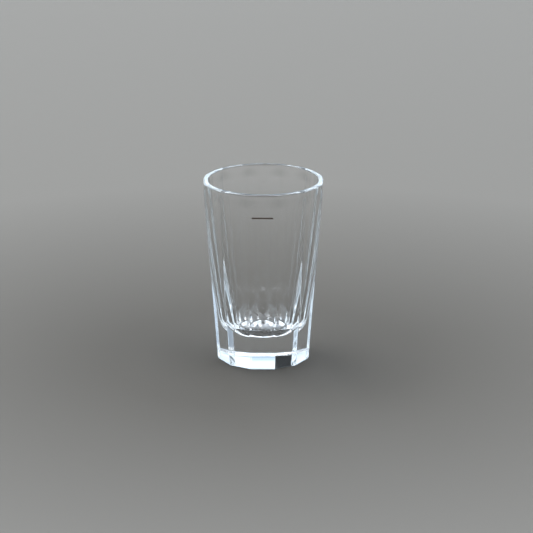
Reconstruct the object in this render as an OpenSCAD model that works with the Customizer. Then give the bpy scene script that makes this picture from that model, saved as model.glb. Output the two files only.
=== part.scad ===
// Panelled shot glass: one press-moulded piece of clear glass with a thick solid foot,
// and a short fill line of fired-on enamel on its front panel.
// Millimetres. The origin is the middle of the foot's underside, +Z is up,
// and -Y is the middle of the front panel.

/* [Body] */
// Height from the table to the crest of the rim
height = 70; // [66:0.5:90]
// Number of flat panels round the outside
panels = 12; // [8:1:12]
// Width across two opposite panels, where they would meet the table
foot_w = 34.4; // [33:0.2:44]
// Width across two opposite panels, where they would meet the plane of the rim
rim_w = 45.4; // [44:0.2:60]

/* [Cavity] */
// Thickness of the solid glass under the cavity
base_t = 10.8; // [6:0.2:20]
// Thickness of the wall at the rim, in the middle of a panel
rim_wall = 1.9; // [1.9:0.1:3]
// Lean of the cavity's side at the rim, in degrees from upright
side_top = 5.3; // [4.5:0.1:7]
// Lean of the cavity's side down at its floor, in degrees from upright
side_low = 14.2; // [10:0.2:17]
// Radius of the rounded corner between the cavity's side and its floor
floor_round = 7.5; // [2:0.5:9]

/* [Rim] */
// Radius of the fire-polished outer edge of the rim
lip_out = 1.2; // [0.4:0.1:1.2]
// Radius of the fire-polished inner edge of the rim
lip_in = 0.5; // [0.2:0.1:0.6]

/* [Foot] */
// Radius of the rounded edge round the foot
foot_round = 1; // [0.4:0.1:2]
// Width of the flat ring that the glass stands on, in the middle of a panel
ring_w = 2.6; // [1.5:0.1:5]
// Depth of the dished hollow inside that ring
dish_depth = 0.6; // [0.3:0.1:2]

/* [Fill line] */
// Height of the line's middle above the table
line_z = 61; // [40:0.5:64]
// Length of the line across the panel
line_w = 8; // [3:0.5:8]
// Height of the line
line_h = 0.6; // [0.3:0.1:1.5]
// Thickness of the enamel
line_t = 0.08; // [0.05:0.01:0.2]

/* [Hidden] */
$fn = 96;

foot_a = foot_w / 2;
rim_a = rim_w / 2;
// How far a panel leans out from upright
lean = atan((rim_a - foot_a) / height);
// From a panel's distance to a corner's distance
to_corner = 1 / cos(180 / panels);

// Centres, on a panel's middle, of the arcs that round the foot and the rim
foot_c = [foot_a - foot_round * (1 - sin(lean)) / cos(lean), foot_round];
lip_c = [rim_a - lip_out * (1 + sin(lean)) / cos(lean), height - lip_out];

// The cavity's side is bowed: it leans out steeply at the floor and gently at the rim
mouth_r = rim_a - rim_wall;
// How much the side widens for each millimetre of height, at height z
function side_slope(z) =
    tan(side_low) + (tan(side_top) - tan(side_low)) * (z - base_t) / (height - base_t);
// Radius of the side at height z
function side_r(z) = mouth_r - (height - z) * (tan(side_top) + side_slope(z)) / 2;

// The rounded corner is never wider than the cavity's floor has room for
corner_r = min(floor_round, 0.85 * side_r(base_t));
// Height at which the side runs smoothly into the rounded corner, from a first guess z
function bend_top(z, tries) =
    tries == 0 ? z : bend_top(base_t + corner_r * (1 - sin(atan(side_slope(z)))), tries - 1);
bend_z = bend_top(base_t + corner_r, 6);
bend_lean = atan(side_slope(bend_z));

// The inner edge's arc runs on a little above the rim, so that the rim's flat crest cuts it cleanly
past = 0.02;
// Centres of the arcs that round the cavity's floor and the rim's inner edge
floor_c = [side_r(bend_z) - corner_r * cos(bend_lean), base_t + corner_r];
inner_c = [mouth_r + lip_in * (1 - sin(side_top)) / cos(side_top), height - lip_in + past];
// Heights of the points along the bowed side
side_steps = 12;
side_end = inner_c[1] + lip_in * sin(side_top);

// The dished hollow under the foot is part of a sphere
dish_r = foot_c[0] - ring_w;
dish_sphere = (dish_r * dish_r + dish_depth * dish_depth) / (2 * dish_depth);

// Points along an arc about c, from one angle to another
function arc(c, r, from, to, steps = 8) =
    [for (i = [0 : steps]) c + r * [cos(from + (to - from) * i / steps), sin(from + (to - from) * i / steps)]];

// Half of the upright section through the middle of a panel, with no cavity
module panel_section() {
    polygon([
        [0, 0],
        each arc(foot_c, foot_round, -90, -lean),
        each arc(lip_c, lip_out, -lean, 90),
        [0, height]
    ]);
}

// Turning the section in as many flat steps as there are panels mitres it at every corner
module panelled_block() {
    rotate(180 / panels - 90)
        rotate_extrude($fn = panels)
            scale([to_corner, 1])
                panel_section();
}

// Half of the cavity's outline, open above the rim
module cavity_outline() {
    polygon([
        [0, base_t],
        each arc(floor_c, corner_r, -90, -bend_lean),
        each [for (i = [1 : side_steps - 1])
            let (z = bend_z + (side_end - bend_z) * i / side_steps) [side_r(z), z]],
        each arc(inner_c, lip_in, 180 - side_top, 90),
        [inner_c[0], height + 1],
        [0, height + 1]
    ]);
}

module glass_body() {
    color([0.86, 0.93, 0.94, 0.35])
        difference() {
            panelled_block();
            rotate_extrude()
                cavity_outline();
            translate([0, 0, dish_depth - dish_sphere])
                sphere(dish_sphere);
        }
}

// The enamel lies on the outside of the front panel and leans with it
module fill_line() {
    color([0.2, 0.14, 0.1])
        translate([0, -foot_a - line_z * tan(lean), line_z])
            rotate([lean, 0, 0])
                translate([-line_w / 2, -line_t, -line_h / 2])
                    cube([line_w, line_t, line_h]);
}

glass_body();
fill_line();
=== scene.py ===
"""Visual model of a panelled shot glass: thick clear glass with an enamel fill line.

Metres, in the CAD frame: +Z up, -Y the middle of the front panel, z = 0 the table.
"""
import math

import bmesh
import bpy
from mathutils import Matrix, Vector, noise


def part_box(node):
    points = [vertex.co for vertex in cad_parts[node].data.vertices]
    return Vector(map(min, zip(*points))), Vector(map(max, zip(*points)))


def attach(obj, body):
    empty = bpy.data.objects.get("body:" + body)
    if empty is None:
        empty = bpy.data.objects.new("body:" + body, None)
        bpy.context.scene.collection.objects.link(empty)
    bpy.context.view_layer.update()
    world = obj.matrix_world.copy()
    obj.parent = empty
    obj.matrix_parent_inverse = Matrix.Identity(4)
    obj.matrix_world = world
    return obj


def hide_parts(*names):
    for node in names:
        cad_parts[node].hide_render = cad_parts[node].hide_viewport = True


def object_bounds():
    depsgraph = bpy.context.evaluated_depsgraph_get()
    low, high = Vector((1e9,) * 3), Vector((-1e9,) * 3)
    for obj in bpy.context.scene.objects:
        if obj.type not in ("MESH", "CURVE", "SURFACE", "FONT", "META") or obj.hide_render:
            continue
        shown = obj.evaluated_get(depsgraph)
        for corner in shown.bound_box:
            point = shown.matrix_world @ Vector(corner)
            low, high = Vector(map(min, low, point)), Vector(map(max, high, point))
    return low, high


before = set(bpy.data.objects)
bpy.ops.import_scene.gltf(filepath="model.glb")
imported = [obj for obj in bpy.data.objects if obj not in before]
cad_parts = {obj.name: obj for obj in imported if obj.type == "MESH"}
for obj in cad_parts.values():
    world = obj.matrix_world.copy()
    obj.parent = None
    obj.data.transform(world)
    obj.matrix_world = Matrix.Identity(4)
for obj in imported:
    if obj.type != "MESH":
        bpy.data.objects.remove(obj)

MM = 0.001
cad_low, cad_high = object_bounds()
HEIGHT = cad_high.z

# The glass, as in the CAD
PANELS = 12
FOOT_APOTHEM = 17.2 * MM
RIM_APOTHEM = 22.7 * MM
BASE = 10.8 * MM
MOUTH_RADIUS = 20.8 * MM
TOP_LEAN = math.radians(5.3)
LOW_LEAN = math.radians(14.2)
FLOOR_ROUND = 7.5 * MM
DISH_RADIUS = 13.7 * MM
DISH_DEPTH = 0.6 * MM
LEAN = (RIM_APOTHEM - FOOT_APOTHEM) / HEIGHT

# What the fire polish does to the edges; the corners' radii are shares of the apothem
FOOT_CORNER = 0.05
RIM_CORNER = 0.13
CREST_RADIUS = 21.6 * MM
LIP_DROP = 1.0 * MM
INNER_DROP = 0.7 * MM
LIP_SQUARENESS = 0.75
FOOT_ROUND = 0.9 * MM
# The rim melts nearly round, and the panels fade in just below it
MELT_DEPTH = 5.5 * MM
MELT_SHARE = 0.55
MELT_PLAN = 0.995
# Unevenness of the cavity's side, which fades out towards the rim
RIPPLE_SIZE = 7 * MM
RIPPLE_HEIGHT = 0.03 * MM
RIPPLE_FADE = 10 * MM
# How close an edge loop lies to a sharp change of shape
NEAR = 0.1 * MM

# The enamel line, as in the CAD, and how far it is sunk into the glass so that no gap shows
LINE_LENGTH = 8.0 * MM
LINE_HEIGHT = 0.6 * MM
LINE_THICK = 0.08 * MM
LINE_SUNK = 0.02 * MM

# The ring of the foot rests on the floor's high spots only, so it still mirrors from inside the glass
FLOOR_GAP = 0.03 * MM
FLOOR_RADIUS = 6.0


def mix(a, b, t):
    return a + (b - a) * t


def clamp(v):
    return max(0.0, min(1.0, v))


def spaced(a, b, steps):
    """Values from a to b, both included."""
    return [mix(a, b, i / steps) for i in range(steps + 1)]


# ---------------------------------------------------------------- meshes

def skin(bm, rings):
    """Joins rings of vertices, each the same length, into one closed surface with flat ends."""
    count = len(rings[0])
    for lower, upper in zip(rings, rings[1:]):
        for i in range(count):
            j = (i + 1) % count
            bm.faces.new((lower[i], lower[j], upper[j], upper[i]))
    bm.faces.new(rings[0][::-1])
    bm.faces.new(rings[-1])


def piece_from(bm, name):
    """Turns a bmesh into a smooth-shaded object in the scene."""
    for face in bm.faces:
        face.smooth = True
    bmesh.ops.recalc_face_normals(bm, faces=bm.faces)
    mesh = bpy.data.meshes.new(name)
    bm.to_mesh(mesh)
    bm.free()
    piece = bpy.data.objects.new(name, mesh)
    bpy.context.scene.collection.objects.link(piece)
    return piece


# ---------------------------------------------------------------- glass body

def panel_plan(share, flat_steps=12, arc_steps=7, guard=0.02):
    """Points round the outside at an apothem of 1, with corners rounded by arcs of radius `share`."""
    half_turn = math.pi / PANELS
    flat = (1 - share) * math.tan(half_turn)
    along = [-1.0] + spaced(-1 + guard, 1 - guard, flat_steps) + [1.0]
    plan = []
    for panel in range(PANELS):
        middle = panel * 2 * half_turn - math.pi / 2
        outward = Vector((math.cos(middle), math.sin(middle)))
        sideways = Vector((-outward.y, outward.x))
        plan += [outward + sideways * flat * t for t in along]
        corner = middle + half_turn
        centre = Vector((math.cos(corner), math.sin(corner))) * (1 - share) / math.cos(half_turn)
        for step in range(1, arc_steps):
            turn = middle + 2 * half_turn * step / arc_steps
            plan.append(centre + Vector((math.cos(turn), math.sin(turn))) * share)
    return plan


FOOT_PLAN = panel_plan(FOOT_CORNER)
RIM_PLAN = panel_plan(RIM_CORNER)


def melt(z):
    """How far the panels have melted into a circle at a height: 0 below the rim, most at the lip."""
    depth = HEIGHT - LIP_DROP - z
    t = clamp(1 - depth / (MELT_DEPTH - LIP_DROP))
    return MELT_SHARE * t * t * (3 - 2 * t)


def plan_point(i, z):
    """Point i of the outside's plan at a height, at an apothem of 1."""
    point = FOOT_PLAN[i].lerp(RIM_PLAN[i], z / HEIGHT)
    return point.lerp(point.normalized() * MELT_PLAN, melt(z))


def fuller(v):
    """A sine or cosine raised so that it draws a squarer edge than an ellipse."""
    return math.copysign(abs(v) ** LIP_SQUARENESS, v)


def lip(wall, lean, drop, sign):
    """Points (radius, z) of a rounded edge from the crest down to a wall that leans sideways by `lean`.

    `sign` is 1 for the outer edge and -1 for the inner one.
    """
    centre_z = HEIGHT - drop
    half_width = sign * (wall(centre_z) - CREST_RADIUS)
    last_angle = 0.03
    points = []
    for a in spaced(math.pi / 2, last_angle, 14):
        side = fuller(math.cos(a)) * half_width
        rise = fuller(math.sin(a)) * drop
        points.append((CREST_RADIUS + sign * side + lean * rise * math.cos(a), centre_z + rise))
    return points


def foot_profile(wall):
    """Half section under the glass: the dished hollow, the ring it stands on and the rounded toe."""
    ring_edge = wall(0) - FOOT_ROUND
    dish = [(DISH_RADIUS * t, DISH_DEPTH * (1 - t ** 2)) for t in spaced(0.02, 0.98, 16)]
    ring = [(mix(DISH_RADIUS, ring_edge, t), 0.0) for t in (0.08, 0.3, 0.55, 0.8)]
    steps = 8
    toe = [(ring_edge + FOOT_ROUND * math.cos(a), FOOT_ROUND * (1 + math.sin(a)))
           for a in spaced(-math.pi / 2, -math.atan(LEAN), steps)]
    # The arc's end is moved onto the leaning wall, and the rest of it follows in step
    slack = toe[-1][0] - wall(toe[-1][1])
    toe = [(r - slack * i / steps, z) for i, (r, z) in enumerate(toe)]
    return dish + ring + toe


def outside_profile(i):
    """Half section of the outside through point i of the plan, from the dish to the crest."""
    def wall(z):
        return plan_point(i, z).length * (FOOT_APOTHEM + LEAN * z)

    foot = foot_profile(wall)
    edge = lip(wall, LEAN, LIP_DROP, 1)[::-1]
    low, high = foot[-1][1], edge[0][1]
    melt_start = HEIGHT - MELT_DEPTH
    heights = [low + NEAR] + spaced(low + 1 * MM, melt_start, 28)
    heights += spaced(melt_start + NEAR, high - NEAR, 14)
    return foot + [(wall(z), z) for z in heights] + edge


def side_slope(z):
    """How fast the cavity's side widens at a height: steeply at its floor, gently at the rim."""
    return mix(math.tan(LOW_LEAN), math.tan(TOP_LEAN), (z - BASE) / (HEIGHT - BASE))


def side_radius(z):
    """Radius of the cavity's side at a height."""
    return MOUTH_RADIUS - (HEIGHT - z) * (side_slope(HEIGHT) + side_slope(z)) / 2


def inside_profile():
    """Half section of the cavity from the crest to the middle of its floor."""
    edge = lip(side_radius, side_slope(HEIGHT), INNER_DROP, -1)[1:]
    # The height where the side runs smoothly into the floor's rounded corner, found by repetition
    bend_top = BASE + FLOOR_ROUND
    for _ in range(6):
        turn = math.atan(side_slope(bend_top))
        bend_top = BASE + FLOOR_ROUND * (1 - math.sin(turn))
    centre = Vector((side_radius(bend_top) - FLOOR_ROUND * math.cos(turn), BASE + FLOOR_ROUND))
    bend = [(centre.x + FLOOR_ROUND * math.cos(a), centre.y + FLOOR_ROUND * math.sin(a))
            for a in spaced(-turn, -math.pi / 2, 20)]
    side = [(side_radius(z), z) for z in spaced(edge[-1][1] - NEAR, bend_top + NEAR, 50)]
    floor = [(centre.x * t, BASE) for t in (0.97, 0.85, 0.7, 0.55, 0.4, 0.25, 0.1, 0.02)]
    return edge + side + bend + floor


def ripple(point):
    """Slow unevenness of the pressed cavity, drawn out along the way the plunger came out."""
    seed = Vector((3, 0, 0))
    fade = clamp((HEIGHT - point.z) / RIPPLE_FADE)
    stretched = Vector((point.x, point.y, point.z / 4)) / RIPPLE_SIZE
    return RIPPLE_HEIGHT * noise.noise(stretched + seed) * fade


def make_glass():
    """The whole glass as one closed surface: rings up the outside, over the rim and down the cavity."""
    count = len(FOOT_PLAN)
    outsides = [outside_profile(i) for i in range(count)]
    outside_sections = [list(section) for section in zip(*outsides)]
    inside_sections = [[point] * count for point in inside_profile()]
    bm = bmesh.new()

    def ring_of(section):
        ring = []
        for i, (radius, z) in enumerate(section):
            place = plan_point(i, z).normalized() * radius
            ring.append(bm.verts.new((place.x, place.y, z)))
        return ring

    outside = [ring_of(section) for section in outside_sections]
    inside = [ring_of(section) for section in inside_sections]
    skin(bm, outside + inside)
    for ring in inside:
        for v in ring:
            out = Vector((v.co.x, v.co.y, 0)).normalized()
            v.co += out * ripple(v.co)
    return piece_from(bm, "shot_glass")


# ---------------------------------------------------------------- fill line

def make_fill_line():
    """A thin bar with round ends and softened edges, lying on the front panel and leaning with it."""
    low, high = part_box("fill_line")
    middle_z = (low.z + high.z) / 2
    tilt = math.atan(LEAN)
    along = Vector((1, 0, 0))
    up = Vector((0, -math.sin(tilt), math.cos(tilt)))
    out = Vector((0, -math.cos(tilt), -math.sin(tilt)))
    on_panel = Vector((0, -(FOOT_APOTHEM + LEAN * middle_z), middle_z))
    end = LINE_HEIGHT / 2
    outline = []
    for side in (1, -1):
        for turn in spaced(-math.pi / 2, math.pi / 2, 12):
            x = side * (LINE_LENGTH / 2 - end + end * math.cos(turn))
            outline.append(Vector((x, side * end * math.sin(turn))))
    # Each level is a share of the outline's height and how far it stands out of the panel
    levels = [(1.0, -LINE_SUNK), (1.0, 0.4 * LINE_THICK), (0.93, 0.8 * LINE_THICK), (0.8, LINE_THICK)]
    bm = bmesh.new()
    rings = []
    for share, height in levels:
        inset = end * (1 - share)
        ring = []
        for p in outline:
            x = p.x - math.copysign(inset, p.x)
            ring.append(bm.verts.new(on_panel + along * x + up * p.y * share + out * height))
        rings.append(ring)
    skin(bm, rings)
    return piece_from(bm, "enamel_fill_line")


# ---------------------------------------------------------------- materials

def new_material(name):
    """A material with its nodes, its links and its Principled shader."""
    material = bpy.data.materials.new(name)
    material.use_nodes = True
    nodes = material.node_tree.nodes
    return material, nodes, material.node_tree.links, nodes["Principled BSDF"]


def noise_on(nodes, links, place, scale, detail):
    """A noise texture over a set of coordinates."""
    texture = nodes.new("ShaderNodeTexNoise")
    texture.inputs["Scale"].default_value = scale
    texture.inputs["Detail"].default_value = detail
    links.new(place, texture.inputs["Vector"])
    return texture.outputs["Fac"]


def bump_from(nodes, links, shader, height, strength, distance):
    """Roughens a shader's surface by a height."""
    bump = nodes.new("ShaderNodeBump")
    bump.inputs["Strength"].default_value = strength
    bump.inputs["Distance"].default_value = distance
    links.new(height, bump.inputs["Height"])
    links.new(bump.outputs["Normal"], shader.inputs["Normal"])


def ramp_of(nodes, stops):
    """A colour ramp through (position, colour) stops."""
    ramp = nodes.new("ShaderNodeValToRGB")
    elements = ramp.color_ramp.elements
    while len(elements) < len(stops):
        elements.new(0.5)
    for element, (position, colour) in zip(elements, sorted(stops)):
        element.position = position
        element.color = (*colour, 1)
    return ramp


def clear_glass():
    """Clear glass, with the faint unevenness of a pressed surface and a trace of tint in the thick foot."""
    material, nodes, links, shader = new_material("clear_glass")
    shader.inputs["Base Color"].default_value = (1.0, 1.0, 1.0, 1.0)
    shader.inputs["Transmission Weight"].default_value = 1.0
    shader.inputs["IOR"].default_value = 1.52
    place = nodes.new("ShaderNodeTexCoord").outputs["Object"]
    slow = noise_on(nodes, links, place, 140.0, 1.0)
    bump_from(nodes, links, shader, slow, 0.25, 0.05 * MM)
    film = noise_on(nodes, links, place, 90.0, 4.0)
    rough = nodes.new("ShaderNodeMapRange")
    rough.inputs["From Min"].default_value = 0.45
    rough.inputs["From Max"].default_value = 0.75
    rough.inputs["To Min"].default_value = 0.0
    rough.inputs["To Max"].default_value = 0.02
    links.new(film, rough.inputs["Value"])
    links.new(rough.outputs["Result"], shader.inputs["Roughness"])
    absorb = nodes.new("ShaderNodeVolumeAbsorption")
    absorb.inputs["Color"].default_value = (0.80, 0.90, 0.92, 1.0)
    absorb.inputs["Density"].default_value = 2.5
    links.new(absorb.outputs["Volume"], nodes["Material Output"].inputs["Volume"])
    return material


def fired_enamel():
    """Brown enamel fired onto the glass: fine-grained, half glossy."""
    material, nodes, links, shader = new_material("fired_enamel")
    place = nodes.new("ShaderNodeTexCoord").outputs["Object"]
    grain = noise_on(nodes, links, place, 4000.0, 3.0)
    tone = ramp_of(nodes, [
        (0.30, (0.100, 0.070, 0.050)),
        (0.75, (0.200, 0.145, 0.110)),
    ])
    links.new(grain, tone.inputs["Fac"])
    links.new(tone.outputs["Color"], shader.inputs["Base Color"])
    shader.inputs["Roughness"].default_value = 0.35
    bump_from(nodes, links, shader, grain, 0.4, 0.02 * MM)
    return material


def pale_floor_painted_shade():
    """A plain matt floor, with painted shade: its colour darkens round the glass like a soft shadow."""
    material, nodes, links, shader = new_material("pale_floor_painted_shade")
    place = nodes.new("ShaderNodeTexCoord").outputs["Object"]
    distance = nodes.new("ShaderNodeVectorMath")
    distance.operation = "LENGTH"
    links.new(place, distance.inputs[0])
    # Painted shade: the colour darkens with nearness to the glass, a soft shadow painted round its foot
    tone = ramp_of(nodes, [
        (0.00, (0.110, 0.099, 0.086)),
        (0.06, (0.120, 0.108, 0.093)),
        (0.24, (0.235, 0.216, 0.192)),
        (1.00, (0.278, 0.258, 0.233)),
    ])
    links.new(distance.outputs["Value"], tone.inputs["Fac"])
    links.new(tone.outputs["Color"], shader.inputs["Base Color"])
    shader.inputs["Roughness"].default_value = 0.8
    shader.inputs["Specular IOR Level"].default_value = 0.15
    return material


# ---------------------------------------------------------------- stage and light

def make_floor():
    mesh = bpy.data.meshes.new("floor")
    bm = bmesh.new()
    bmesh.ops.create_circle(bm, cap_ends=True, radius=FLOOR_RADIUS, segments=96)
    bm.to_mesh(mesh)
    bm.free()
    floor = bpy.data.objects.new("floor", mesh)
    floor.location.z = -FLOOR_GAP
    floor.data.materials.append(pale_floor_painted_shade())
    bpy.context.scene.collection.objects.link(floor)


def times(nodes, links, colour, by, factor):
    """One colour multiplied by another, as far as a factor says."""
    product = nodes.new("ShaderNodeMix")
    product.data_type = "RGBA"
    product.blend_type = "MULTIPLY"
    links.new(factor, product.inputs["Factor"])
    links.new(colour, product.inputs["A"])
    links.new(by, product.inputs["B"])
    return product.outputs["Result"]


def tone_by_height(nodes, links, height):
    """The sky's colour by the upward part of a direction: dim along the horizon, brightest overhead."""
    ramp = ramp_of(nodes, [
        (0.00, (0.279, 0.291, 0.298)),
        (0.08, (0.290, 0.303, 0.312)),
        (0.13, (0.290, 0.345, 0.425)),
        (0.16, (0.330, 0.410, 0.520)),
        (0.22, (0.74, 0.88, 1.01)),
        (0.70, (0.84, 0.93, 1.01)),
        (1.00, (1.55, 1.66, 1.80)),
    ])
    links.new(height, ramp.inputs["Fac"])
    return ramp.outputs["Color"]


def tone_by_turn(nodes, links, x, y):
    """How bright the sky is by compass turn from +Y, which is behind the glass, towards +X.

    It is dark towards the camera and has one narrow dark gap behind the glass.
    """
    turn = nodes.new("ShaderNodeMath")
    turn.operation = "ARCTAN2"
    links.new(x, turn.inputs[0])
    links.new(y, turn.inputs[1])
    share = nodes.new("ShaderNodeMapRange")
    share.inputs["From Min"].default_value = -math.pi
    share.inputs["From Max"].default_value = math.pi
    links.new(turn.outputs["Value"], share.inputs["Value"])
    brightness = {
        -180: 0.06, -155: 0.08, -135: 0.9, -115: 1.3, -60: 1.3,
        -30: 1.18, -27: 0.03, -12: 0.03, -9: 1.18,
        60: 1.3, 115: 1.3, 135: 0.9, 155: 0.08, 180: 0.06,
    }
    ramp = ramp_of(nodes, [((degrees + 180) / 360, (b, b, b)) for degrees, b in brightness.items()])
    links.new(share.outputs["Result"], ramp.inputs["Fac"])
    return ramp.outputs["Color"]


def thin_cloud(nodes, links, direction):
    """Soft uneven cover, so that the glass mirrors something livelier than plain bands."""
    cloud = noise_on(nodes, links, direction, 2.6, 2.0)
    cover = ramp_of(nodes, [
        (0.36, (0.62, 0.68, 0.75)),
        (0.50, (1.0, 1.0, 1.0)),
        (0.64, (1.15, 1.12, 1.10)),
    ])
    links.new(cloud, cover.inputs["Fac"])
    return cover.outputs["Color"]


def make_world():
    """A soft bright dome above a dim even horizon."""
    world = bpy.data.worlds.new("studio")
    world.use_nodes = True
    nodes, links = world.node_tree.nodes, world.node_tree.links
    direction = nodes.new("ShaderNodeTexCoord").outputs["Generated"]
    split = nodes.new("ShaderNodeSeparateXYZ")
    links.new(direction, split.inputs["Vector"])
    above = nodes.new("ShaderNodeMapRange")
    above.inputs["From Min"].default_value = 0.08
    above.inputs["From Max"].default_value = 0.16
    links.new(split.outputs["Z"], above.inputs["Value"])
    sky = tone_by_height(nodes, links, split.outputs["Z"])
    by_turn = tone_by_turn(nodes, links, split.outputs["X"], split.outputs["Y"])
    sky = times(nodes, links, sky, by_turn, above.outputs["Result"])
    sky = times(nodes, links, sky, thin_cloud(nodes, links, direction), above.outputs["Result"])
    background = nodes["Background"]
    links.new(sky, background.inputs["Color"])
    background.inputs["Strength"].default_value = 1.35
    bpy.context.scene.world = world


def make_key_light():
    """A square softbox high up behind the glass, to its left."""
    size, distance, radiance = 1.0, 2.0, 3.6
    azimuth, elevation = math.radians(-50), math.radians(62)
    light = bpy.data.lights.new("key_light", "AREA")
    light.shape = "RECTANGLE"
    light.size = size
    light.size_y = size
    light.energy = radiance * math.pi * size * size
    lamp = bpy.data.objects.new("key_light", light)
    level = math.cos(elevation)
    towards = Vector((math.sin(azimuth) * level, math.cos(azimuth) * level, math.sin(elevation)))
    lamp.location = towards * distance + Vector((0, 0, HEIGHT / 2))
    lamp.rotation_euler = towards.to_track_quat("Z", "Y").to_euler()
    lamp.visible_camera = False
    bpy.context.scene.collection.objects.link(lamp)


def make_camera():
    """Looks down at the glass from the front, a little from its right, through a long lens."""
    down, turn = math.radians(17.37), math.radians(0.85)
    distance = 1.117
    shift_x, shift_z = 1.2 * MM, 0.5 * MM
    target = Vector((0, 0, HEIGHT / 2))
    data = bpy.data.cameras.new("camera")
    data.sensor_width = 36.0
    data.lens = 199.0
    data.clip_start = 0.05
    data.clip_end = 50.0
    data.dof.use_dof = False
    camera = bpy.data.objects.new("camera", data)
    camera.rotation_euler = (math.pi / 2 - down, 0, turn)
    offset = Vector((shift_x, -distance * math.cos(down), distance * math.sin(down) + shift_z))
    camera.location = target + Matrix.Rotation(turn, 4, "Z") @ offset
    bpy.context.scene.collection.objects.link(camera)
    bpy.context.scene.camera = camera


def make_deep_paths(bounces=32):
    """Light crosses the thick glass many times before it leaves."""
    paths = bpy.context.scene.cycles
    paths.max_bounces = bounces
    paths.glossy_bounces = bounces
    paths.transmission_bounces = bounces


# ---------------------------------------------------------------- scene

glass = make_glass()
glass.data.materials.append(clear_glass())
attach(glass, "root")
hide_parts("glass_body")

line = make_fill_line()
line.data.materials.append(fired_enamel())
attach(line, "root")
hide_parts("fill_line")

make_floor()
make_world()
make_key_light()
make_camera()
make_deep_paths()
bpy.context.scene.view_settings.view_transform = "Standard"
